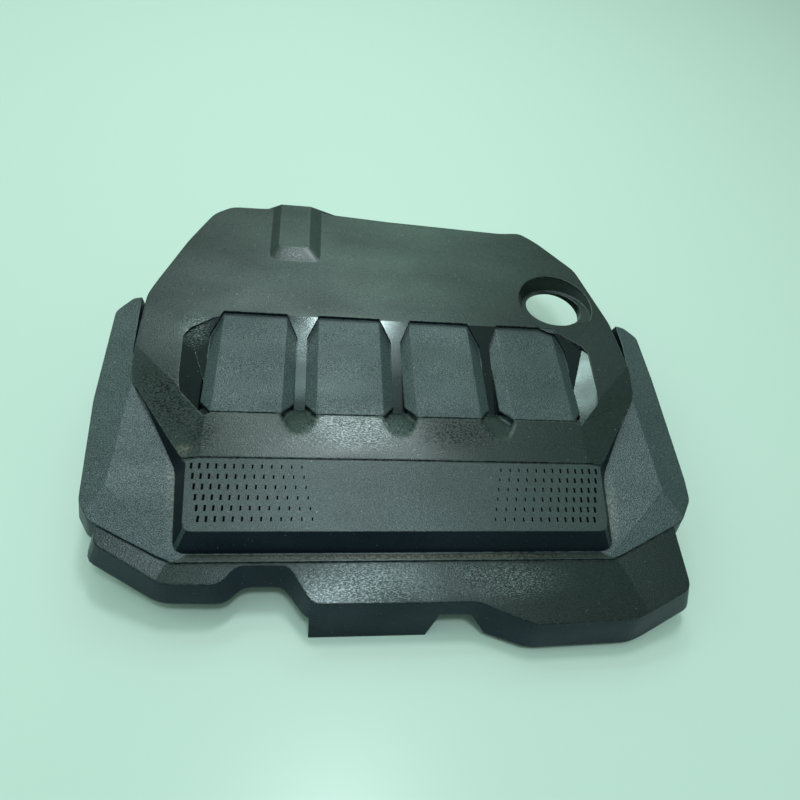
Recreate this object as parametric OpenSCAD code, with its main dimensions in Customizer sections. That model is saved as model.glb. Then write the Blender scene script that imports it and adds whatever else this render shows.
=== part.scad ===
// Engine cover: one moulded shell over a four-cylinder engine, four rubber sockets that
// snap on ball studs, and a sound pad held on pegs by push-on washers.
// Millimetres, +Z up, the front skirt towards -Y. The cover stands on its tongue and two towers.

/* [Overall] */
// Width across the skirts of the two wings
cover_w = 531; // [505:1:560]
// Depth from the front skirt to the rear hump
cover_d = 440; // [420:1:465]
// Height of the deck at the front edge of the pads
deck_h = 73; // [68:0.5:80]
// Rise of the deck towards the rear, in mm for each mm
deck_rise = 0.048; // [0.03:0.002:0.065]
// Thickness of the moulded wall
wall = 3; // [2.4:0.1:3.4]

/* [Strip and tray] */
// Fall of the strip towards the front, in mm for each mm
strip_fall = 0.16; // [0.12:0.01:0.2]
// Depth of the strip from the shoulder line to its front edge
strip_d = 56; // [50:1:58]
// Lean of the strip and shoulder walls, in mm for each mm of height
wall_lean = 0.62; // [0.5:0.02:0.7]
// Drop of the sloping facets at the front corners of the deck
facet_drop = 4; // [3:0.2:5.5]
// Width of the dark line between shoulder and strip
line_w = 1.8; // [1.2:0.1:2.4]
// Depth of the dark line
line_d = 1.4; // [0.8:0.1:1.6]
// Height of the wing at its corner next to the shoulder
wing_h = 69; // [67:0.5:71]
// Step from the tray down to the apron
seam_step = 2.5; // [1.5:0.1:3.5]

/* [Pads] */
// Distance from one pad to the next, as the cylinders are spaced
pad_pitch = 88; // [85:0.5:90]
// Width of a pad over its sloping sides
pad_w = 79; // [74:0.5:81]
// Width of the flat top of a pad
pad_flat_w = 58; // [52:0.5:62]
// Length of a pad from its front edge to the deck wall behind it
pad_l = 110; // [102:1:114]
// Height of the sloping sides
pad_bevel = 4.5; // [3.5:0.1:5.5]
// Sink of the pad below the deck at the rear
pad_sink = 3.5; // [2.5:0.1:4.5]
// Depth of the glossy floor at its front end
floor_depth = 13; // [10:0.5:15]
// Fall of the soft spoon at the front end of a gap, in mm for each mm
spoon_slope = 0.33; // [0.26:0.01:0.4]
// Rise of the pocket floors towards the outside, in mm for each mm
pocket_slope = 0.5; // [0.42:0.02:0.58]

/* [Dots] */
// Rows of dots on the strip
dot_rows = 6; // [4:1:7]
// Dots in one row on each side
dot_cols = 13; // [8:1:13]
// Length of the largest dot
dot_l = 5; // [4:0.1:5.4]
// Width of the largest dot
dot_w = 2; // [1.6:0.1:2.2]
// Depth of the dots
dot_d = 0.9; // [0.6:0.1:1.2]

/* [Filler opening] */
// Radius of the opening over the oil filler
filler_r = 29; // [27:0.5:31]
// Radius of the upper edge of the dished wall
rim_r = 39.5; // [37:0.5:40]
// Depth at which the dished wall would meet the opening
rim_depth = 16; // [14:0.5:18]
// Fall of the lip towards the rear, in mm for each mm
lip_fall = 0.217; // [0.18:0.01:0.24]
// Length of the collar below the deck
collar_l = 14; // [13:0.5:18]

/* [Hump] */
// Height of the hump at the rear edge above the deck
bump_h = 4; // [3:0.1:5]

/* [Skirts] */
// Lean of the front skirt, in mm for each mm of height
skirt_lean = 0.4; // [0.3:0.02:0.44]
// Height of the bottom edge of the left skirt
left_skirt_z = 20; // [17:0.5:23]
// Height of the bottom edge of the right skirt
right_skirt_z = 6.5; // [4:0.5:10]
// Height of the left skirt where its bottom edge rises with the apron
left_skirt_h = 20; // [17:0.5:23]
// Height of the right skirt where its bottom edge rises with the apron
right_skirt_h = 26; // [23:0.5:29]
// Height of the bottom edge of the wings
wing_skirt_z = 37; // [33:0.5:41]
// Height of the bottom edge of the deck wall
deck_skirt_z = 52; // [48:0.5:56]
// Height of the cut-out over the hose in the front skirt
hose_cut_h = 23; // [19:0.5:26]

/* [Sockets] */
// Outer radius of a socket tower
tower_r = 14; // [13:0.5:15]
// Radius of a rubber socket and of the bore it is pressed into
socket_r = 10; // [9.5:0.1:10.5]
// Length of a rubber socket
socket_l = 13; // [12:0.5:15]
// Radius of the ball of the stud
ball_r = 5; // [4.5:0.1:5.5]
// Radius of the mouth that the ball is pushed through
mouth_r = 4.4; // [4:0.1:4.6]
// Height of the lower end of the front towers
front_tower_z = 22; // [18:0.5:26]

/* [Sound pad] */
// Height of the underside of the sound pad
sound_pad_z = 60; // [57:0.5:62]
// Radius of the pegs that hold the sound pad
peg_r = 2.5; // [2.2:0.1:3]
// Clearance of the pad around a peg
peg_gap = 0.5; // [0.3:0.1:1]
// Radius of a push-on washer
washer_r = 11; // [9:0.5:13]
// Thickness of a push-on washer
washer_t = 1.2; // [1:0.1:1.6]

/* [Hidden] */
$fn = 64;

BLACK = [0.14, 0.16, 0.165];
RUBBER = [0.08, 0.08, 0.08];
FOAM = [0.25, 0.25, 0.26];
STEEL = [0.62, 0.63, 0.64];

// The layout is drawn at its own width and depth and follows the two overall sizes.
layout_w = 531;
layout_d = 440;
layout_mid_y = 76;
sx = cover_w / layout_w;
sy = cover_d / layout_d;
function at(p) = [p[0] * sx, (p[1] - layout_mid_y) * sy];
function laid(list) = [for (p = list) at(p)];
function mirrored(list) = [for (i = [len(list) - 1:-1:0]) [-list[i][0], list[i][1]]];

// Outline functions: points run anticlockwise, a positive inset moves them inwards.
corner_steps = 3;
function unit(v) = v / norm(v);
function left_of(v) = [-v[1], v[0]];
function inset(p, d) = let (n = len(p)) [for (i = [0:n - 1])
    let (u = left_of(unit(p[i] - p[(i + n - 1) % n])), v = left_of(unit(p[(i + 1) % n] - p[i])))
    p[i] + d * (u + v) / (1 + u * v)];
function curve(a, b, c, s) = (1 - s) * (1 - s) * a + 2 * s * (1 - s) * b + s * s * c;
function rounded(p, r) = let (n = len(p)) [for (i = [0:n - 1])
    let (a = p[(i + n - 1) % n] - p[i], c = p[(i + 1) % n] - p[i],
        t = min(r, norm(a) * 0.42, norm(c) * 0.42))
    for (k = [0:corner_steps]) curve(p[i] + t * unit(a), p[i], p[i] + t * unit(c), k / corner_steps)];

// A plane is [height at the origin, slope along x, slope along y] of the finished part.
function height(plane, p) = plane[0] + plane[1] * p[0] + plane[2] * p[1];
function plane_at(p, z, slope_x, slope_y) = [z - slope_x * p[0] - slope_y * p[1], slope_x, slope_y];
function lowered(plane, d) = [plane[0] - d, plane[1], plane[2]];
reach = 700;
deep = 60;

// Stations of the layout
line_y = -8;
pad_front_y = 35;
strip_half_w = 177.5;
strip_front_half_w = 168.5;
wing_corner = [229.5, 67];
slot_front = [232, 97];
filler_at = [172, 178];
crease_x = 165;
corner_x = 182;
filler_front = at([filler_at[0], filler_at[1] - filler_r]);

deck_plane = plane_at(at([0, pad_front_y]), deck_h, 0, deck_rise);
strip_plane = plane_at(at([0, line_y]), height(deck_plane, at([0, line_y])), 0, strip_fall);
pad_plane = plane_at(at([0, pad_front_y]), deck_h - 0.6, 0, deck_rise - (pad_sink - 0.6) / pad_l);
lip_plane = plane_at(filler_front, height(deck_plane, filler_front), 0.056, deck_rise - lip_fall);
floor_back = at([0, 143]);
floor_front = at([0, 48]);
floor_slope = floor_depth / (floor_back[1] - floor_front[1]);
floor_plane = plane_at(floor_back, height(deck_plane, floor_back), 0, deck_rise + floor_slope);
ramp_back_z = height(floor_plane, floor_front);
ramp_front = at([0, 31]);
ramp_plane = plane_at(ramp_front, height(deck_plane, ramp_front), 0,
    (ramp_back_z - height(deck_plane, ramp_front)) / (floor_front[1] - ramp_front[1]));
spoon_front = at([0, 15]);
spoon_plane = plane_at(spoon_front, height(deck_plane, spoon_front), 0, deck_rise - spoon_slope);

// Wings, tray and apron of the right side; the left side mirrors the slope along x.
wing_at = at(wing_corner);
function wing_plane(side) = plane_at([side * wing_at[0], wing_at[1]], wing_h, -side * 0.043, 0.073);
function tray_plane(side) = plane_at([side * wing_at[0], wing_at[1]], wing_h, side * 0.212, 0.081);
facet_at = at([233, -30]);
function facet_plane(side) = plane_at([side * facet_at[0], facet_at[1]], wing_h - 7.2, side * 0.13, 0.169);
gutter_front = at([0, -84.5]);
gutter_z = wing_h - 23;
gutter_plane = plane_at(gutter_front, gutter_z, 0, -0.25);
apron_mid_plane = plane_at(gutter_front, gutter_z - seam_step, 0, 0.2);
apron_bend = at([187, -80]);
function apron_end_plane(side) =
    plane_at([side * apron_bend[0], apron_bend[1]], gutter_z + 1.6 - seam_step, side * 0.104, 0.25);

// Outlines
rear_edge = [[229.5, 67], [232, 97], [226, 155], [204, 229], [187, 248], [168, 269], [150, 283],
    [127, 280], [-1, 285], [-69, 290], [-83, 293.5], [-116, 294.5], [-132, 291], [-167, 290],
    [-184.5, 277], [-204, 236], [-226, 177], [-231.5, 160], [-232, 97], [-229.5, 67]];
deck_outline = laid(concat([[-strip_half_w, line_y], [strip_half_w, line_y]], rear_edge));
front_outline = laid([[-229.5, 67], [-strip_half_w, line_y], [-strip_front_half_w, line_y - strip_d],
    [strip_front_half_w, line_y - strip_d], [strip_half_w, line_y], [229.5, 67], [200, 110], [-200, 110]]);
right_wing = laid([[120, -80.2], [176, -80.2], [186, -77.3], [243, -55.5], [256, -37], [258, -17],
    [259.5, 90], [258, 143], [244.5, 157], [233, 159], [120, 130]]);
left_wing = laid(mirrored([[120, -80.2], [176, -80.2], [186, -77.3], [240, -55], [249, -41], [257.8, 47],
    [259.5, 143], [245.5, 161], [235.5, 163], [120, 130]]));
gutter_outline = laid([[-180, -84.5], [180, -84.5], [180, -50], [-180, -50]]);
apron_outline = laid([[-241, -42], [-241.7, -75.4], [-183.5, -100.4], [-141.5, -101.6], [-130, -89],
    [-92, -89], [-72.5, -115], [59, -115.5], [104, -131.8], [189.5, -130], [243.5, -111.4], [243, -42],
    [150, -30], [-150, -30]]);
left_slot = laid([[-237.2, 172], [-234, 96], [-232, 96], [-231.6, 172]]);
right_slot = laid([[226.5, 172], [232, 96], [234, 96], [236, 130], [234.6, 172]]);

// Pads: corners cut at the front and at the rear
pad_front_cut = 10.5;
pad_side_cut = 13;
pad_rear_cut = 25;
pad_half = pad_w / 2;
pad_outline = [[-pad_half + pad_front_cut, 0], [pad_half - pad_front_cut, 0], [pad_half, pad_side_cut],
    [pad_half, pad_l - pad_rear_cut], [pad_half - pad_front_cut, pad_l],
    [-pad_half + pad_front_cut, pad_l], [-pad_half, pad_l - pad_rear_cut], [-pad_half, pad_side_cut]];
pads_at = [for (i = [-1.5:1:1.5]) [i * pad_pitch, at([0, pad_front_y])[1]]];

// Gaps between the pads, wider at both ends, and the pockets beside the outer pads
gap_lap = 0.4;
gap_half = (pad_pitch - pad_w) / 2 + gap_lap;
gap_wide = gap_half + pad_front_cut;
gap_outline = [[-5, -20], [5, -20], [gap_wide, 0], [gap_half, pad_side_cut],
    [gap_half, pad_l - pad_rear_cut], [gap_wide, pad_l + gap_lap], [-gap_wide, pad_l + gap_lap],
    [-gap_half, pad_l - pad_rear_cut], [-gap_half, pad_side_cut], [-gap_wide, 0]];
gaps_at = [for (i = [-1:1]) [i * pad_pitch, at([0, pad_front_y])[1]]];
side_x = 1.5 * pad_pitch + pad_half - gap_lap;
pocket_outline = [[side_x - pad_front_cut, -1], [side_x - 5, -4], [side_x + 17, 20], [side_x + 20, 35],
    [side_x + 22, 79], [side_x + 17, 88], [side_x - 3, 102], [side_x - 7.5, 103.5],
    [side_x, pad_l - pad_rear_cut], [side_x, pad_side_cut]];
function pad_row(list) = [for (p = list) p + [0, at([0, pad_front_y])[1]]];
pocket_corner = pad_row([pocket_outline[2]])[0];
pocket_step = 0.8;
function pocket_plane(side) = plane_at([side * pocket_corner[0], pocket_corner[1]],
    height(deck_plane, pocket_corner) - pocket_step, side * pocket_slope, deck_rise - 0.085 * pocket_slope);

tower_bore = socket_l + 1;
front_towers = [at([-150, 11]), at([150, 11])];
rear_towers = [at([-172, 240]), at([130, 243])];
towers = concat([for (p = front_towers) [p[0], p[1], front_tower_z]],
    [for (p = rear_towers) [p[0], p[1], 0]]);

pad_edges = laid([[-146, 168], [98, 166], [98, 268], [-146, 274]]);
pegs = [for (y = [184, 256]) for (x = [-128, -25, 78]) at([x, y])];
peg_end_z = sound_pad_z - washer_t - 4;

// Closed solid between two rings of points, each lying in its own plane
function ring(outline, plane) = [for (q = outline) [q[0], q[1], height(plane, q)]];
module loft(lower, upper) {
    n = len(lower);
    points = concat(lower, upper);
    sides = [for (i = [0:n - 1]) each [[i, i + n, (i + 1) % n + n], [i, (i + 1) % n + n, (i + 1) % n]]];
    polyhedron(points, concat([[for (i = [0:n - 1]) i]], sides, [[for (i = [2 * n - 1:-1:n]) i]]));
}

// Block whose walls lean outwards below the height where its outline is given
module block(outline, low_z, high_z, given_z, lean, g, r) {
    lower = rounded(inset(outline, g - lean * (given_z - low_z)), r);
    upper = rounded(inset(outline, g + lean * (high_z - given_z)), r);
    loft(ring(lower, [low_z, 0, 0]), ring(upper, [high_z, 0, 0]));
}

// Everything below a plane
module below(plane) {
    corners = [[-reach, -reach], [reach, -reach], [reach, reach], [-reach, reach]];
    points = concat([for (c = corners) [c[0], c[1], -reach]],
        [for (c = corners) [c[0], c[1], height(plane, c)]]);
    polyhedron(points, [[0, 1, 2, 3], [7, 6, 5, 4], [0, 4, 5, 1], [1, 5, 6, 2], [2, 6, 7, 3], [3, 7, 4, 0]]);
}

// The forms below give the outside with g = 0 and the hollow inside with g = wall.
module deck_form(g) {
    low_z = g > 0 ? deck_skirt_z - 20 : deck_skirt_z;
    intersection() {
        block(deck_outline, low_z, 110, 80, 0.06, g, 7);
        below(lowered(deck_plane, g));
    }
}

module front_form(g) {
    low_z = g > 0 ? gutter_z - 11 : gutter_z - 4;
    intersection() {
        block(front_outline, low_z, 85, deck_h - 7, wall_lean, g, 7);
        below(lowered(deck_plane, g));
        below(lowered(strip_plane, g));
    }
}

module wing_form(g, side) {
    low_z = g > 0 ? wing_skirt_z - 1 : wing_skirt_z;
    outline = side > 0 ? right_wing : left_wing;
    intersection() {
        block(outline, low_z, 90, wing_h - 7, 0.25, g, 4);
        below(lowered(wing_plane(side), g));
        below(lowered(tray_plane(side), g));
        below(lowered(facet_plane(side), g));
    }
}

module gutter_form(g) {
    low_z = g > 0 ? 29 : 30;
    open_side = g > 0 ? 8 : 0;
    open_back = g > 0 ? 60 : 0;
    outline = [for (p = gutter_outline) p + [sign(p[0]) * open_side, p[1] > at([0, -60])[1] ? open_back : 0]];
    intersection() {
        block(outline, low_z, 60, 46, 0, g, 1);
        below(lowered(gutter_plane, g));
    }
}

module apron_form(g) {
    low_z = g > 0 ? -1 : 0;
    open_back = g > 0 ? 14 : 0;
    outline = [for (p = apron_outline) p[1] > at([0, -50])[1] ? p + [0, open_back] : p];
    difference() {
        intersection() {
            block(outline, low_z, gutter_z + 12, 37, skirt_lean, g, 7);
            union() {
                intersection() {
                    below(lowered(apron_mid_plane, g));
                    below([gutter_z - seam_step - g, 0, 0]);
                }
                for (side = [-1, 1]) intersection() {
                    below(lowered(apron_end_plane(side), g));
                    below(lowered(tray_plane(side), g + seam_step));
                }
            }
        }
        if (g == 0) skirt_cuts();
    }
}

// Bottom edges of the front skirt: high on the left, low on the right, lowest at the tongue,
// rising with the apron towards both ends
module skirt_cuts() {
    tongue_left = at([-74.5, 0])[0];
    tongue_right = at([20, 0])[0];
    right_start = at([68, 0])[0];
    front = at([0, -180])[1];
    translate([-reach, front, -deep]) cube([reach + tongue_left, 200, deep + left_skirt_z]);
    translate([right_start, front, -deep]) cube([reach, 200, deep + right_skirt_z]);
    intersection() {
        below(lowered(apron_end_plane(-1), left_skirt_h));
        translate([-reach + tongue_left, front, -deep]) cube([reach, 200, 2 * deep]);
    }
    intersection() {
        below(lowered(apron_end_plane(1), right_skirt_h));
        translate([right_start, front, -deep]) cube([reach, 200, 2 * deep]);
    }
    translate([0, front + 200, 0]) rotate([90, 0, 0]) linear_extrude(200)
        polygon([[tongue_right, -deep], [right_start, -deep], [right_start, right_skirt_z],
            [right_start - 14, hose_cut_h], [tongue_right + 9, hose_cut_h], [tongue_right, 0]]);
}

// Raised hump at the rear edge with a flat top and soft slopes at its sides and front
module bump_form(g) {
    foot = laid([[-136, 193.5], [-55, 193.5], [-55, 310], [-136, 310]]);
    top = laid([[-116, 231], [-85, 231], [-85, 310], [-116, 310]]);
    foot_d = 1.5 * bump_h;
    top_lap = 0.2 * bump_h;
    high = [for (i = [0:3]) foot[i] + (top[i] - foot[i]) * (foot_d + bump_h + top_lap) / (foot_d + bump_h)];
    intersection() {
        loft(ring(rounded(foot, 12), lowered(deck_plane, g + foot_d)),
            ring(rounded(high, 5), lowered(deck_plane, g - bump_h - top_lap)));
        below(lowered(deck_plane, g - bump_h));
        translate([-reach, -reach, 0]) cube([2 * reach, reach + at([0, 295])[1] - g, 200]);
    }
}

// Space over the glossy floor of a gap or pocket; the floor ramps up at its front end, and
// that of a pocket also towards its outer side
module floor_void(outline, g, side = 0) {
    difference() {
        translate([0, 0, 30]) linear_extrude(80) polygon(inset(outline, -g));
        below(lowered(floor_plane, g));
        if (side != 0) below(lowered(pocket_plane(side), g));
        intersection() {
            below(lowered(ramp_plane, g));
            below(lowered(spoon_plane, g));
        }
    }
}

// Space over one pad, which has a flat top and two sloping sides
module pad_void(p, g) {
    wide = pad_w;
    flat = pad_flat_w / 2;
    slope = (pad_half - flat) / pad_bevel;
    tilt = atan(pad_plane[2]);
    start = p[1] - 40;
    difference() {
        translate([p[0], p[1], 30]) linear_extrude(80) polygon(inset(pad_outline, -g));
        translate([p[0], start, height(pad_plane, [0, start]) - g]) rotate([90 + tilt, 0, 0])
            mirror([0, 0, 1]) linear_extrude(pad_l + 80)
                polygon([[-wide, -deep], [wide, -deep], [wide, (flat - wide) / slope], [flat, 0],
                    [-flat, 0], [-wide, (flat - wide) / slope]]);
    }
}

module pad_row_voids(g) {
    for (p = pads_at) pad_void(p, g);
    for (p = gaps_at) floor_void([for (q = gap_outline) q + p], g);
    floor_void(pad_row(pocket_outline), g, 1);
    floor_void(pad_row(mirrored(pocket_outline)), g, -1);
}

// Dark slots between the deck and the wings
module slot_cut(g) {
    for (s = [left_slot, right_slot]) translate([0, 0, deck_skirt_z + 9 - g])
        linear_extrude(60) polygon(inset(s, -g));
}

// Sloping facet at each front corner of the deck
module corner_facet(side, g) {
    ridge_back = at([232.5, 102]);
    ridge_front = at([crease_x, 33]);
    crease = at([crease_x, -8.5]);
    corner = at([corner_x, -14]);
    tip = at([234, 66]);
    base = [ridge_back, ridge_front, crease, corner, tip];
    drop = [0, 0, 0, facet_drop, facet_drop];
    p = [for (i = [0:4]) [side * base[i][0], base[i][1], height(deck_plane, base[i]) - drop[i] - g]];
    q = [for (v = p) [v[0], v[1], v[2] + 30]];
    faces = [[0, 1, 4], [1, 3, 4], [1, 2, 3], [5, 9, 8, 7, 6], [0, 5, 6, 1], [1, 6, 7, 2],
        [2, 7, 8, 3], [3, 8, 9, 4], [4, 9, 5, 0]];
    polyhedron(concat(p, q), side < 0 ? [for (f = faces) [for (i = [len(f) - 1:-1:0]) f[i]]] : faces);
}

module form(g) {
    difference() {
        union() {
            difference() {
                union() {
                    deck_form(g);
                    front_form(g);
                }
                for (side = [-1, 1]) corner_facet(side, g);
            }
            wing_form(g, 1);
            wing_form(g, -1);
            gutter_form(g);
            apron_form(g);
            bump_form(g);
        }
        pad_row_voids(g);
        slot_cut(g);
    }
}

// Dots on the strip, smaller and wider apart towards the middle
module dots() {
    first_x = at([169.7, 0])[0];
    row_step = 8.4 * strip_d / 56;
    tilt = atan(strip_fall);
    for (side = [-1, 1]) for (row = [0:dot_rows - 1]) for (col = [0:dot_cols - 1]) {
        size = 1 - 0.5 * col / dot_cols;
        x = first_x - 1.9 * row - 6.1 * col - 0.09 * col * col;
        y = at([0, line_y])[1] - 7 - row * row_step;
        translate([side * x, y, height(strip_plane, [0, y])]) rotate([tilt, 0, 0])
            cube([dot_w * size, dot_l * size, 2 * dot_d], center = true);
    }
}

// Thin dark line between shoulder and strip
module strip_line() {
    y = at([0, line_y])[1];
    z = height(deck_plane, [0, y]) - line_d;
    bend_x = at([crease_x, 0])[0];
    translate([-bend_x, y - line_w / 2, z]) cube([2 * bend_x, line_w, 20]);
    for (side = [0, 1]) mirror([side, 0, 0]) translate([bend_x, y - line_w / 2, z])
        rotate([0, atan(facet_drop / (corner_x - crease_x)), 0]) translate([-2, 0, 0]) cube([24, line_w, 20]);
}

// Thin dark line at the front edge of each pad
module pad_lines() {
    w = pad_w - 2 * pad_front_cut;
    for (p = pads_at) translate([p[0] - w / 2, p[1] - 0.3, height(pad_plane, p) - line_d])
        cube([w, 0.7 * line_w, 20]);
}

// Tower that holds a rubber socket, with four fins down its sides
module tower(low_z, top_z) {
    fin_l = tower_r + 7;
    fin_h = top_z - low_z - 17.5;
    difference() {
        union() {
            translate([0, 0, low_z]) cylinder(r = tower_r, h = top_z - low_z + 1);
            for (turn = [0, 90]) rotate(turn) translate([0, 0, low_z + 18]) rotate([90, 0, 0])
                linear_extrude(2.4, center = true)
                    polygon([[-tower_r + 1, 0], [tower_r - 1, 0], [fin_l, fin_h - 2.5], [fin_l, fin_h],
                        [-fin_l, fin_h], [-fin_l, fin_h - 2.5]]);
        }
        translate([0, 0, low_z - 1]) cylinder(r = socket_r, h = tower_bore + 1);
    }
}

// Stiffening ribs under the shoulder, the strip and the rear of the deck
module ribs() {
    rib_t = 2.2;
    skin = wall / 2;
    y0 = at([0, line_y])[1];
    for (x = [-75, 0, 75]) translate([x * sx, 0, 0]) rotate([90, 0, 90]) linear_extrude(rib_t, center = true)
        polygon([[y0 - strip_d * sy + 4, height(strip_plane, [0, y0 - strip_d * sy + 4]) - skin],
            [y0 - strip_d * sy + 4, deck_h - 28], [y0 + 20, deck_h - 20],
            [y0 + 20, height(deck_plane, [0, y0 + 20]) - skin], [y0, height(deck_plane, [0, y0]) - skin]]);
    for (x = [-152, 108]) translate([x * sx, 0, 0]) rotate([90, 0, 90]) linear_extrude(rib_t, center = true)
        polygon([for (v = [[165, 16], [270, 12], [270, skin], [165, skin]])
            let (y = at([0, v[0]])[1]) [y, height(deck_plane, [0, y]) - v[1]]]);
    y1 = at([0, 11])[1];
    translate([-150 * sx, y1 - rib_t / 2, deck_h - 18])
        cube([300 * sx, rib_t, height(deck_plane, [0, y1]) - skin - deck_h + 18]);
}

// Dished space round the filler opening, above a lip that falls away from the front
module filler_void(g) {
    p = at(filler_at);
    top_z = height(deck_plane, p);
    difference() {
        translate([p[0], p[1], top_z - rim_depth - g]) union() {
            cylinder(r1 = filler_r + g, r2 = rim_r + g, h = rim_depth + g);
            translate([0, 0, rim_depth + g]) cylinder(r = rim_r + g, h = 10);
        }
        below(lowered(lip_plane, g));
    }
}

module collar() {
    p = at(filler_at);
    intersection() {
        filler_void(wall);
        below(lowered(deck_plane, 1));
    }
    intersection() {
        translate([p[0], p[1], height(deck_plane, p) - collar_l]) cylinder(r = filler_r + wall, h = collar_l);
        below(lowered(lip_plane, 1));
    }
}

module filler_cut() {
    p = at(filler_at);
    filler_void(0);
    translate([p[0], p[1], height(deck_plane, p) - collar_l - 1]) cylinder(r = filler_r, h = collar_l + 10);
}

module cover_shell() {
    color(BLACK) difference() {
        union() {
            difference() {
                form(0);
                form(wall);
            }
            for (t = towers) translate([t[0], t[1], 0]) tower(t[2], height(deck_plane, t) - wall);
            for (p = pegs) translate([p[0], p[1], peg_end_z])
                cylinder(r = peg_r, h = height(deck_plane, p) - wall / 2 - peg_end_z);
            ribs();
            collar();
        }
        filler_cut();
        dots();
        strip_line();
        pad_lines();
    }
}

// Rubber socket: a plug with a round seat for the ball and a narrower mouth below it
module socket(k) {
    t = towers[k];
    color(RUBBER) translate([t[0], t[1], t[2]]) difference() {
        cylinder(r = socket_r, h = socket_l);
        translate([0, 0, 6]) sphere(r = ball_r);
        translate([0, 0, -1]) cylinder(r = mouth_r, h = 7);
    }
}

module sound_pad() {
    color(FOAM) difference() {
        intersection() {
            translate([0, 0, sound_pad_z]) linear_extrude(60) polygon(rounded(pad_edges, 12));
            below(lowered(deck_plane, wall));
        }
        for (p = pegs) translate([p[0], p[1], sound_pad_z - 1]) cylinder(r = peg_r + peg_gap, h = 60);
    }
}

module washer(k) {
    p = pegs[k];
    color(STEEL) translate([p[0], p[1], sound_pad_z - washer_t]) difference() {
        cylinder(r = washer_r, h = washer_t);
        translate([0, 0, -1]) cylinder(r = peg_r, h = washer_t + 2);
    }
}

cover_shell();
socket(0);  // front_left_socket
socket(1);  // front_right_socket
socket(2);  // rear_left_socket
socket(3);  // rear_right_socket
sound_pad();
washer(0);  // washer_front_left
washer(1);  // washer_front_middle
washer(2);  // washer_front_right
washer(3);  // washer_rear_left
washer(4);  // washer_rear_middle
washer(5);  // washer_rear_right
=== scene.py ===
# An engine cover on a pale glass table: a grained black moulding over an engine, rubber ball
# sockets, a felted sound pad and its push-on washers, lit by soft daylight.
import math

import bmesh
import bpy
from mathutils import Matrix, Vector


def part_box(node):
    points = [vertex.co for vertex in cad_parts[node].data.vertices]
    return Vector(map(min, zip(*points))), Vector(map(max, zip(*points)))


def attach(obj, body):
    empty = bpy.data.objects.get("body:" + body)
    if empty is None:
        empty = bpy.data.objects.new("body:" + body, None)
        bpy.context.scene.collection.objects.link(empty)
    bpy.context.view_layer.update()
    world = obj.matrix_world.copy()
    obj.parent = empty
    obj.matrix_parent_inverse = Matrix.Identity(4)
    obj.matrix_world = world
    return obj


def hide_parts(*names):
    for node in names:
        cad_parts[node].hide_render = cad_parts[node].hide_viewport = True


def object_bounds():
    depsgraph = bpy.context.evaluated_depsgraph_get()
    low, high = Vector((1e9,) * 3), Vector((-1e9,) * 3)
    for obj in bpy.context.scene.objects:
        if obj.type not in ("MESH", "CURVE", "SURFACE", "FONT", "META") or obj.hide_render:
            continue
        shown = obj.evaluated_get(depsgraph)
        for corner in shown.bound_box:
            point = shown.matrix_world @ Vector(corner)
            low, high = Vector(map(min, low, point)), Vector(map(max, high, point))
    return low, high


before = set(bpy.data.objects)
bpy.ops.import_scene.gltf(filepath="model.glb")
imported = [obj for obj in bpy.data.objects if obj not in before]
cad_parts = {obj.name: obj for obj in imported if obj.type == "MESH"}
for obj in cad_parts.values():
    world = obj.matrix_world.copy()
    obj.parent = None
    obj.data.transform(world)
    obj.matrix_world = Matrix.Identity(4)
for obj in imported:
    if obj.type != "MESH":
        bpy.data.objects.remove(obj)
cad_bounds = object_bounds()
scene = bpy.context.scene


# A colour written as sRGB hex, in the linear values that shaders take.
def linear(code):
    parts = [int(code[i:i + 2], 16) / 255 for i in (1, 3, 5)]
    return tuple(c / 12.92 if c < 0.04045 else ((c + 0.055) / 1.055) ** 2.4 for c in parts) + (1,)


# A new node with its settings, and with its inputs either linked or set.
def add(tree, kind, inputs=(), **settings):
    node = tree.nodes.new(kind)
    for name, value in settings.items():
        setattr(node, name, value)
    for key, value in dict(inputs).items():
        if isinstance(value, bpy.types.NodeSocket):
            tree.links.new(value, node.inputs[key])
        else:
            node.inputs[key].default_value = value
    return node


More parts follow.
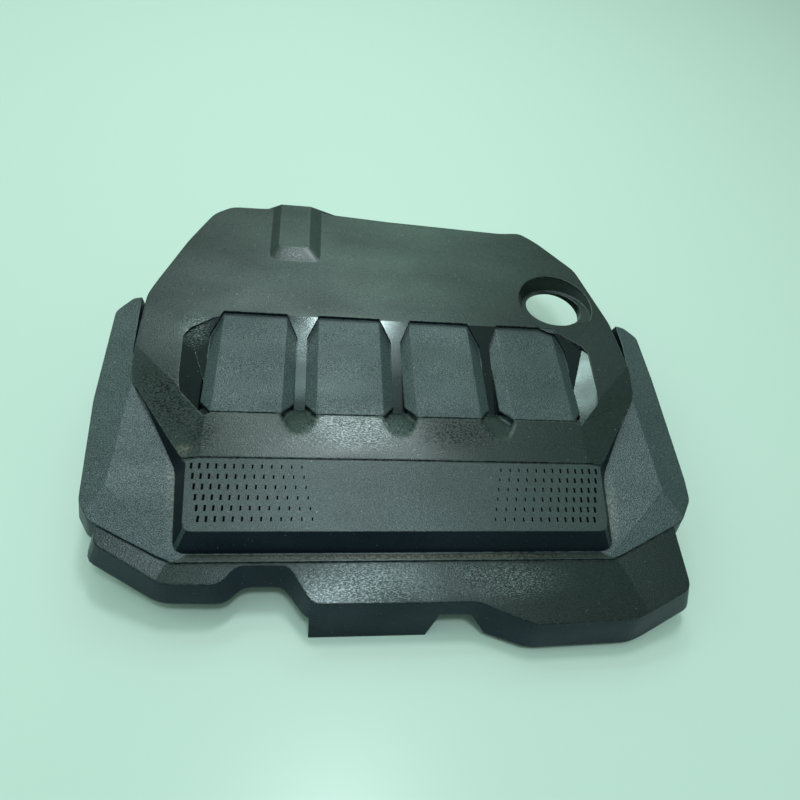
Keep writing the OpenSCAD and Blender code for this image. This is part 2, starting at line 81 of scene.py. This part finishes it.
# Moulded plastic: one black polypropylene with a fine grain, worn and dusty in places.
# Wear and dust are patches at real places on the cover, broken up by noise, and so are a painted highlight
# and painted shade.
def moulded_plastic(name, dark, light, rough, shine, grain, wear_and_painted_light, rounding=0.0018, tint="#ffffff"):
    material = bpy.data.materials.new(name)
    material.use_nodes = True
    tree = material.node_tree
    shader = tree.nodes["Principled BSDF"]
    place = add(tree, "ShaderNodeTexCoord").outputs["Object"]

    def ranged(value, start, end, low=0.0, high=1.0, **settings):
        inputs = {"Value": value, "From Min": low, "From Max": high, "To Min": start, "To Max": end}
        return add(tree, "ShaderNodeMapRange", inputs, **settings).outputs["Result"]

    def noise(scale, detail=3.0, low=0.35, high=0.65, stretch=(1, 1, 1)):
        drawn = add(tree, "ShaderNodeMapping", {"Vector": place, "Scale": stretch}).outputs["Vector"]
        made = add(tree, "ShaderNodeTexNoise", {"Vector": drawn, "Scale": scale, "Detail": detail})
        return ranged(made.outputs["Fac"], 0.0, 1.0, low, high)

    # An oval spot that fades towards its rim.
    def patch(centre, radii, turn=0.0, soft=0.9):
        angle = (0, 0, math.radians(turn))
        inputs = {"Vector": place, "Location": centre, "Rotation": angle, "Scale": radii}
        local = add(tree, "ShaderNodeMapping", inputs, vector_type="TEXTURE").outputs["Vector"]
        far = add(tree, "ShaderNodeVectorMath", {0: local}, operation="LENGTH").outputs["Value"]
        return ranged(far, 0.0, 1.0, 1.0, 1.0 - soft, interpolation_type="SMOOTHSTEP")

    def math_node(operation, a, b):
        return add(tree, "ShaderNodeMath", {0: a, 1: b}, operation=operation).outputs[0]

    def times(a, b):
        return math_node("MULTIPLY", a, b)

    def spots(places):
        total = None
        for one in places:
            mask = patch(*one)
            total = mask if total is None else math_node("MAXIMUM", total, mask)
        return total

    def mix(amount, a, b):
        return add(tree, "ShaderNodeMix", {0: amount, 6: a, 7: b}, data_type="RGBA").outputs[2]

    # Broad tone: slow stains, then the speckle that the grain gives.
    slow = noise(9.0, 4.0, 0.3, 0.7)
    speckle = noise(1150.0, 2.0, 0.36, 0.66)
    tone = mix(times(slow, 0.35), linear(dark), linear(light))
    tone = mix(times(speckle, grain), tone, linear(light))
    cloudy = noise(22.0, 5.0, 0.3, 0.7, (0.5, 1, 1))
    gloss = ranged(cloudy, rough + 0.09, rough - 0.07)
    glint = times(ranged(speckle, shine * (1 - grain), shine * (1 + grain)), ranged(cloudy, 0.82, 1.15))

    # Edges rounded in the shading, widest at the spoons in front of the gaps, and painted lighter along
    # every rounded edge: partly rubbed wear, partly a painted highlight.
    spoon = spots([((x, -0.047, 0.070), (0.024, 0.022, 0.03), 0, 0.4) for x in (-0.088, 0.0, 0.088)])
    widest = max(rounding, 0.007) if grain > 0.1 else rounding
    round_edge = add(tree, "ShaderNodeBevel", {"Radius": ranged(spoon, rounding, widest)}, samples=8)
    round_edge = round_edge.outputs["Normal"]
    flat = add(tree, "ShaderNodeNewGeometry").outputs["True Normal"]
    turned = add(tree, "ShaderNodeVectorMath", {0: round_edge, 1: flat}, operation="DOT_PRODUCT")
    rim = ranged(turned.outputs["Value"], 0.0, 1.0, 0.995, 0.93)
    tone = mix(times(times(rim, noise(260.0, 4.0, 0.4, 0.6)), 0.45), tone, linear("#5d6a66"))
    if wear_and_painted_light:
        # Light scuffs, with a painted highlight in the shoulder's middle and on the apron: the shoulder, the
        # hump's front, the left pocket and gap, and the apron.
        scuff_and_highlight = spots((
            ((-0.040, -0.055, 0.072), (0.080, 0.030, 0.03), 2),
            ((-0.100, 0.147, 0.083), (0.020, 0.010, 0.02), 0),
            ((-0.184, 0.048, 0.075), (0.020, 0.026, 0.03), 0),
            ((-0.088, 0.040, 0.075), (0.020, 0.034, 0.03), 0),
            ((-0.030, -0.178, 0.040), (0.095, 0.030, 0.03), 3),
            ((0.080, -0.175, 0.040), (0.07, 0.022, 0.03), 0)))
        wear_and_highlight = times(scuff_and_highlight, noise(1150.0, 8.0, 0.46, 0.68, (0.5, 1, 1)))
        tone = mix(times(wear_and_highlight, 0.68), tone, linear("#8b9795"))
        # Dark rubbed speckle, and painted shade: right of the shoulder's middle, its left corner, and the
        # tray.
        rubbed_and_shade = spots((
            ((0.050, -0.055, 0.071), (0.060, 0.026, 0.03), 0),
            ((-0.195, -0.030, 0.070), (0.034, 0.070, 0.03), 38),
            ((-0.165, -0.060, 0.070), (0.020, 0.030, 0.03), 0),
            ((0.105, -0.150, 0.040), (0.040, 0.020, 0.03), 0)))
        rubbed_and_shade = times(rubbed_and_shade, noise(800.0, 8.0, 0.46, 0.58, (0.6, 1, 1)))
        tone = mix(times(rubbed_and_shade, 0.7), tone, linear("#0b0d0e"))
        dulled = math_node("SUBTRACT", 1.0, times(rubbed_and_shade, 0.75))
        polished = math_node("ADD", times(wear_and_highlight, 0.5), 1.0)
        glint = times(times(glint, dulled), polished)
        # Tan dust: beside the strip, along the tray and at the strip's left corner.
        dust = spots((
            ((-0.186, -0.100, 0.053), (0.007, 0.060, 0.02), 8),
            ((0.186, -0.115, 0.050), (0.008, 0.045, 0.02), -8),
            ((0.0, -0.157, 0.046), (0.200, 0.004, 0.01), 0),
            ((-0.178, -0.076, 0.066), (0.010, 0.008, 0.02), 0)))
        dust = times(dust, noise(500.0, 6.0, 0.4, 0.62))
        tone = mix(times(dust, 0.38), tone, linear("#8f8a76"))
        gloss = math_node("SUBTRACT", gloss, times(wear_and_highlight, 0.14))
    fleck = noise(600.0, 1.0, 0.77, 0.80)
    tone = mix(times(fleck, 0.35), tone, linear("#b9c2bd"))
    tree.links.new(tone, shader.inputs["Base Color"])
    tree.links.new(gloss, shader.inputs["Roughness"])
    tree.links.new(glint, shader.inputs["Specular IOR Level"])
    shader.inputs["Specular Tint"].default_value = linear(tint)
    shader.inputs["IOR"].default_value = 1.5
    depth = 0.55 if grain > 0.3 else 0.2 if grain > 0.1 else 0.03
    pebble = noise(800.0, 2.0, 0.3, 0.7)
    inputs = {"Strength": depth, "Distance": 0.0003, "Height": pebble, "Normal": round_edge}
    tree.links.new(add(tree, "ShaderNodeBump", inputs).outputs["Normal"], shader.inputs["Normal"])
    return material


grained = moulded_plastic("grained_polypropylene",
                          "#10191c", "#445654", 0.41, 0.64, 0.48, True, tint="#e6f6f8")
smooth = moulded_plastic("smooth_polypropylene",
                         "#09110f", "#24332f", 0.33, 0.52, 0.30, True, tint="#e4f3f1")
# Painted shade: a darker copy of the same plastic for the steep walls and skirts that face away from the
# lamps.
shaded = moulded_plastic("shaded_skirt_polypropylene",
                         "#05090d", "#0f1920", 0.40, 0.46, 0.15, False, tint="#b8d8ff")
glossy = moulded_plastic("glossy_polypropylene",
                         "#030507", "#090e12", 0.13, 0.58, 0.02, True, 0.0002, "#d2ebe8")
strip_face = moulded_plastic("strip_polypropylene",
                             "#0e1718", "#3d4e4a", 0.34, 0.85, 0.30, True, 0.00015, "#e8f4f5")
# Painted shade: the sunken faces of the strip's pressed dots are near black and barely reflect.
pressed_dot_shade = moulded_plastic("pressed_dot_shade_polypropylene",
                          "#010202", "#020303", 0.70, 0.05, 0.02, False, 0.0001)


# Cover shell: one injection-moulded polypropylene part, 3 mm thick, grained on the pads and wings
# and polished in the recess floors. It takes its form from the frame's own shell.
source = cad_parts["cover_shell"]
shell = bpy.data.objects.new("cover_shell_skin", source.data.copy())
shell.data.name = "cover_shell_skin"
scene.collection.objects.link(shell)
shell.data.materials.clear()
for material in (grained, smooth, shaded, glossy, strip_face, pressed_dot_shade):
    shell.data.materials.append(material)
GRAINED, SMOOTH, SHADED, GLOSSY, STRIP, PRESSED_SHADE = range(6)
work = bmesh.new()
work.from_mesh(shell.data)
bmesh.ops.remove_doubles(work, verts=work.verts, dist=1e-6)
bmesh.ops.dissolve_limit(work, angle_limit=math.radians(0.6), verts=work.verts, edges=work.edges)


# Edges of one kind at one place: how far they turn, and how upright the two faces are.
def edges_at(place, least, most, upper, lower, convex):
    found = []
    for edge in work.edges:
        if len(edge.link_faces) != 2:
            continue
        turn = math.degrees(edge.calc_face_angle_signed())
        if not convex:
            turn = abs(turn)
        up, down = sorted(edge.link_faces, key=lambda f: -f.normal.z)
        if not (least <= turn <= most and up.normal.z > upper and lower[0] < down.normal.z < lower[1]):
            continue
        middle = (edge.verts[0].co + edge.verts[1].co) / 2
        if min(up.calc_area(), down.calc_area()) > smallest_face and place(middle):
            found.append(edge)
    return found


def at_corner_ridge(p):
    return abs(p.x) > 0.16 and p.z > 0.045


def at_gap_front(p):
    return -0.062 < p.y < -0.038 and p.z > 0.06 and abs(p.x) < 0.13


def at_apron_front(p):
    return p.y < -0.122 and p.z < 0.0475


def at_strip_front(p):
    return p.y < -0.133 and p.z > 0.055


def at_wing_rim(p):
    return abs(p.x) > 0.235 and p.z > 0.04


def at_deck_rear(p):
    return p.y > 0.095 and p.z > 0.072 and math.dist((p.x, p.y), filler) > dish_radius + 0.001


# The main edges are rounded in the mesh, by the radii of the real moulding.
smallest_face = 6e-6
filler, dish_radius = (0.172, 0.102), 0.044
for radius, kind in (
        (0.0060, (at_corner_ridge, 2, 25, 0.9, (0.85, 1), False)),
        (0.0030, (at_gap_front, 4, 60, 0.9, (0.6, 1), False)),
        (0.0040, (at_apron_front, 18, 90, 0.8, (-1, 0.93), True)),
        (0.0022, (at_strip_front, 18, 90, 0.8, (-1, 0.93), True)),
        (0.0030, (at_wing_rim, 18, 90, 0.8, (-1, 0.93), True)),
        (0.0030, (at_deck_rear, 18, 110, 0.8, (-1, 0.93), True))):
    picked = edges_at(*kind)
    bmesh.ops.bevel(work, geom=picked, offset=radius, segments=3, profile=0.5, affect="EDGES",
                    clamp_overlap=True)


# Half the deck's width at y: it narrows along the shoulder's cut corners and the strip.
def shoulder_edge(y):
    if y > -0.009:
        return 0.2295
    if y > strip_rear:
        return 0.2295 + 0.693 * (y + 0.009)
    return 0.1775 + 0.16 * (y - strip_rear)


# Each face takes the finish of the place where it lies; steep walls and the dots' sunken faces take darker
# copies as painted shade.
strip_rear, strip_z, strip_slope = -0.084, 0.07094, 0.16
deck_z, deck_slope, deck_y = 0.073, 0.048, -0.041
pad_pitch, pad_half, row_half = 0.088, 0.0397, 0.172
for face in work.faces:
    c = face.calc_center_median()
    n = face.normal
    lean = -n.y / max(n.z, 1e-6)
    in_row = -0.046 < c.y < 0.070 and abs(c.x) < 0.200
    below_deck = deck_z + deck_slope * (c.y - deck_y) - c.z
    below_strip = strip_z + strip_slope * (c.y - strip_rear) - c.z
    across_pad = (c.x + 2 * pad_pitch) % pad_pitch - pad_pitch / 2
    level = in_row and n.z > 0.9 and abs(lean) < 0.1
    on_pad = level and abs(across_pad) < pad_half and abs(c.x) < row_half and 0.0003 < below_deck < 0.0095
    in_recess = in_row and c.z > 0.045 and n.z > 0.8 and c.y > -0.035
    on_floor = in_recess and (0.12 < lean < 0.21 or abs(n.x) > 0.3)
    in_dish = math.dist((c.x, c.y), filler) < dish_radius and c.z > 0.055
    on_apron = c.y < -0.125 and 0.18 < lean < 0.30
    in_strip = -0.136 < c.y < -0.0852 and abs(c.x) < row_half and c.z > 0.055 and below_strip < 0.0025
    face.material_index = SMOOTH
    if in_strip:
        # The dots' sunken faces take the painted-shade black.
        face.material_index = PRESSED_SHADE if below_strip > 0.0003 or n.z < 0.9 else STRIP
    elif on_pad:
        face.material_index = GRAINED
    elif on_floor:
        face.material_index = GLOSSY
    elif in_dish or on_apron:
        face.material_index = SMOOTH
    elif abs(c.x) > shoulder_edge(c.y) - 0.001 and n.z > 0.6:
        face.material_index = GRAINED
    # Steep walls and skirts take the darker copy: painted shade.
    elif n.z < 0.7:
        face.material_index = SHADED
    face.smooth = False
work.to_mesh(shell.data)
work.free()
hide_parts("cover_shell")
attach(shell, "root")


# Ball sockets: four black rubber plugs, moulded, pressed into the towers under the cover.
# Each copies the frame's plug with its sharp rims rounded.
rubber = bpy.data.materials.new("moulded_rubber")
rubber.use_nodes = True
tree = rubber.node_tree
place = add(tree, "ShaderNodeTexCoord").outputs["Object"]
mottle = add(tree, "ShaderNodeTexNoise", {"Vector": place, "Scale": 300.0, "Detail": 3.0})
tone = add(tree, "ShaderNodeMix", {0: mottle.outputs["Fac"], 6: linear("#141414"), 7: linear("#262625")},
           data_type="RGBA")
tree.links.new(tone.outputs[2], tree.nodes["Principled BSDF"].inputs["Base Color"])
tree.nodes["Principled BSDF"].inputs["Roughness"].default_value = 0.62
for node in ("front_left_socket", "front_right_socket", "rear_left_socket", "rear_right_socket"):
    plug = bpy.data.objects.new(node + "_plug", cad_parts[node].data.copy())
    scene.collection.objects.link(plug)
    plug.data.materials.clear()
    plug.data.materials.append(rubber)
    work = bmesh.new()
    work.from_mesh(plug.data)
    bmesh.ops.remove_doubles(work, verts=work.verts, dist=1e-6)
    rims = [e for e in work.edges if len(e.link_faces) == 2 and e.calc_face_angle() > math.radians(50)]
    bmesh.ops.bevel(work, geom=rims, offset=0.0006, segments=3, profile=0.5, affect="EDGES")
    for face in work.faces:
        face.smooth = True
    work.to_mesh(plug.data)
    work.free()
    plug.data.set_sharp_from_angle(angle=math.radians(35))
    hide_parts(node)
    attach(plug, "root")


# Sound pad: a slab of grey felted polyurethane foam, die-cut, held under the rear deck.
# Its lower side bulges between the washers and its rim is pressed round.
felt = bpy.data.materials.new("felted_foam")
felt.use_nodes = True
tree = felt.node_tree
place = add(tree, "ShaderNodeTexCoord").outputs["Object"]
fibres = add(tree, "ShaderNodeTexNoise", {"Vector": place, "Scale": 700.0, "Detail": 6.0, "Distortion": 1.5})
tufts = add(tree, "ShaderNodeTexNoise", {"Vector": place, "Scale": 60.0, "Detail": 4.0})
blend = add(tree, "ShaderNodeMath", {0: fibres.outputs["Fac"], 1: tufts.outputs["Fac"]},
            operation="MULTIPLY")
tone = add(tree, "ShaderNodeMix", {0: blend.outputs[0], 6: linear("#1e1f21"), 7: linear("#6d6e70")},
           data_type="RGBA")
shader = tree.nodes["Principled BSDF"]
tree.links.new(tone.outputs[2], shader.inputs["Base Color"])
shader.inputs["Roughness"].default_value = 0.95
shader.inputs["Sheen Weight"].default_value = 0.3
bump = add(tree, "ShaderNodeBump", {"Strength": 0.7, "Distance": 0.0006, "Height": fibres.outputs["Fac"]})
tree.links.new(bump.outputs["Normal"], shader.inputs["Normal"])
foam = bpy.data.objects.new("sound_pad_foam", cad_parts["sound_pad"].data.copy())
scene.collection.objects.link(foam)
foam.data.materials.clear()
foam.data.materials.append(felt)
work = bmesh.new()
work.from_mesh(foam.data)
bmesh.ops.remove_doubles(work, verts=work.verts, dist=1e-6)
low = min(v.co.z for v in work.verts)
for axis, first, last in ((0, -0.138, 0.096), (1, 0.090, 0.194)):
    for step in range(int((last - first) / 0.004) + 1):
        cut = Vector((0, 0, 0))
        cut[axis] = first + step * 0.004
        side = Vector((0, 0, 0))
        side[axis] = 1
        everything = work.verts[:] + work.edges[:] + work.faces[:]
        bmesh.ops.bisect_plane(work, geom=everything, plane_co=cut, plane_no=side)
washers = [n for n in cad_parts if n.startswith("washer_")]
washer_spots = [tuple((a + b) / 2 for a, b in zip(*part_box(n))) for n in washers]
rim = [e for e in work.edges if all(abs(v.co.z - low) < 1e-5 for v in e.verts)
       and any(abs(f.normal.z) < 0.3 for f in e.link_faces)]
outer = [v.co.copy() for e in rim for v in e.verts
         if min(math.dist(v.co[:2], p[:2]) for p in washer_spots) > 0.006]
for v in work.verts:
    if abs(v.co.z - low) > 1e-5:
        continue
    to_washer = min(math.dist(v.co[:2], p[:2]) for p in washer_spots)
    to_rim = min(math.dist(v.co[:2], p[:2]) for p in outer)
    bulge = 0.0022 * min(1, max(0, to_washer - 0.0115) / 0.02) ** 0.7
    edge = min(1, to_rim / 0.012)
    press = 0.0045 * (1 - math.sqrt(max(0, 1 - (1 - edge) ** 2))) if edge < 1 else 0
    v.co.z += press - bulge * edge if to_washer > 0.0115 else 0
for face in work.faces:
    face.smooth = abs(face.normal.z) > 0.5
work.to_mesh(foam.data)
work.free()
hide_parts("sound_pad")
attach(foam, "root")


# Push-on washers: six stamped zinc-plated steel discs that bite on the pegs with eight teeth.
# Each is a thin ring whose teeth are bent towards the pad, set round its own peg by a loop.
zinc = bpy.data.materials.new("zinc_plated_steel")
zinc.use_nodes = True
tree = zinc.node_tree
place = add(tree, "ShaderNodeTexCoord").outputs["Object"]
brushed = add(tree, "ShaderNodeTexNoise", {"Vector": place, "Scale": 500.0, "Detail": 4.0})
tone = add(tree, "ShaderNodeMix", {0: brushed.outputs["Fac"], 6: linear("#8d8f90"), 7: linear("#b9bbb8")},
           data_type="RGBA")
gloss = add(tree, "ShaderNodeMapRange", {"Value": brushed.outputs["Fac"], "To Min": 0.25, "To Max": 0.5})
shader = tree.nodes["Principled BSDF"]
tree.links.new(tone.outputs[2], shader.inputs["Base Color"])
tree.links.new(gloss.outputs["Result"], shader.inputs["Roughness"])
shader.inputs["Metallic"].default_value = 1.0
for node in sorted(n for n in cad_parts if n.startswith("washer_")):
    lowest, highest = (Vector(c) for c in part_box(node))
    centre = (lowest + highest) / 2
    radius = (highest.x - lowest.x) / 2
    work = bmesh.new()
    turns = 64
    rings = ((radius, 0.0), (radius, 0.0012), (0.0062, 0.0012), (0.0026, -0.0002), (0.0026, -0.0010),
             (0.0062, 0.0))
    grid = []
    for k in range(turns):
        a = 2 * math.pi * k / turns
        row = []
        for j, (r, z) in enumerate(rings):
            slot_gap = 0.0022 if j in (3, 4) and k % 8 in (0, 1) else 0.0
            reach = r + slot_gap
            spot = (centre.x + reach * math.cos(a), centre.y + reach * math.sin(a), lowest.z + z)
            row.append(work.verts.new(spot))
        grid.append(row)
    for k in range(turns):
        for j in range(len(rings)):
            a, b = grid[k], grid[(k + 1) % turns]
            m = (j + 1) % len(rings)
            work.faces.new((a[j], b[j], b[m], a[m]))
    bmesh.ops.recalc_face_normals(work, faces=work.faces)
    mesh = bpy.data.meshes.new(node + "_disc")
    work.to_mesh(mesh)
    work.free()
    disc = bpy.data.objects.new(node + "_disc", mesh)
    scene.collection.objects.link(disc)
    mesh.materials.append(zinc)
    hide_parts(node)
    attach(disc, "root")


# Table: a sheet of pale mint glass, matt under soft light. Stage only.
glass = bpy.data.materials.new("pale_glass_table")
glass.use_nodes = True
shader = glass.node_tree.nodes["Principled BSDF"]
shader.inputs["Base Color"].default_value = linear("#c8ddd1")
shader.inputs["Roughness"].default_value = 0.30
shader.inputs["Specular IOR Level"].default_value = 0.35
mesh = bpy.data.meshes.new("table_top")
work = bmesh.new()
bmesh.ops.create_grid(work, x_segments=1, y_segments=1, size=4.0)
work.to_mesh(mesh)
work.free()
table = bpy.data.objects.new("table_top", mesh)
scene.collection.objects.link(table)
mesh.materials.append(glass)
table.location = (0, 0, cad_bounds[0][2] - 0.0005)


# Light: a long ceiling panel over the cover, a soft window behind it, and a room that is bright
# above and behind and dimmer in front.
world = bpy.data.worlds.new("surround")
scene.world = world
world.use_nodes = True
tree = world.node_tree
toward = add(tree, "ShaderNodeTexCoord").outputs["Generated"]
along = add(tree, "ShaderNodeVectorMath", {0: toward, 1: (-0.45, 0.75, 0.45)}, operation="DOT_PRODUCT")
reach = {"Value": along.outputs["Value"], "From Min": -0.1, "From Max": 0.9, "To Min": 0.30, "To Max": 0.80}
bright_side = add(tree, "ShaderNodeMapRange", reach)
ground = tree.nodes["Background"]
ground.inputs["Color"].default_value = linear("#d0f0e2")
tree.links.new(bright_side.outputs["Result"], ground.inputs["Strength"])
for name, spot, target, size, power, tint in (
        ("rear_ceiling_lamp", (0.09, 0.865, 1.9), (-0.04, -0.06, 0.07), (0.30, 0.24), 11.6, "#f6fbff"),
        ("front_ceiling_lamp", (0.03, -0.385, 1.9), (-0.06, -0.19, 0.04), (0.36, 0.25), 9.5, "#e8f6ff"),
        ("left_ceiling_lamp", (-0.12, 0.62, 1.9), (-0.09, 0.02, 0.07), (0.16, 0.30), 0.7, "#eefaff"),
        ("corner_lamp", (-0.53, 1.35, 1.9), (0.18, 0.02, 0.07), (0.30, 0.20), 3.8, "#f0fffb"),
        ("left_window", (-0.12, 1.50, 1.9), (-0.09, 0.03, 0.07), (0.45, 0.22), 2.6, "#e8fff6"),
        ("window", (0.40, 2.0, 1.9), (0, 0.1, 0), (1.1, 0.5), 5.8, "#c0f5dc"),
        ("fill", (-1.5, 0.3, 1.6), (0, 0, 0), (1.2, 1.2), 4.0, "#e0fff4")):
    lamp = bpy.data.lights.new(name, "AREA")
    lamp.shape = "RECTANGLE"
    lamp.size, lamp.size_y = size
    lamp.energy = power
    lamp.color = linear(tint)[:3]
    held = bpy.data.objects.new(name, lamp)
    held.location = spot
    held.rotation_euler = (Vector(target) - Vector(spot)).to_track_quat("-Z", "Y").to_euler()
    scene.collection.objects.link(held)


# Camera: where the photo was taken from, above the front skirt and a little to the left.
eye = bpy.data.cameras.new("photo_camera")
eye.sensor_width = 36.0
eye.lens = 26.51
eye.clip_start, eye.clip_end = 0.01, 20.0
camera = bpy.data.objects.new("photo_camera", eye)
right = Vector((0.9882, -0.0609, 0.1406))
up = Vector((-0.0321, 0.8151, 0.5785))
back = Vector((-0.1499, -0.5762, 0.8035))
turn = Matrix((right, up, back)).transposed()
camera.matrix_world = Matrix.Translation((-0.0784, -0.3260, 0.4953)) @ turn.to_4x4()
scene.collection.objects.link(camera)
scene.camera = camera
scene.view_settings.view_transform = "Standard"
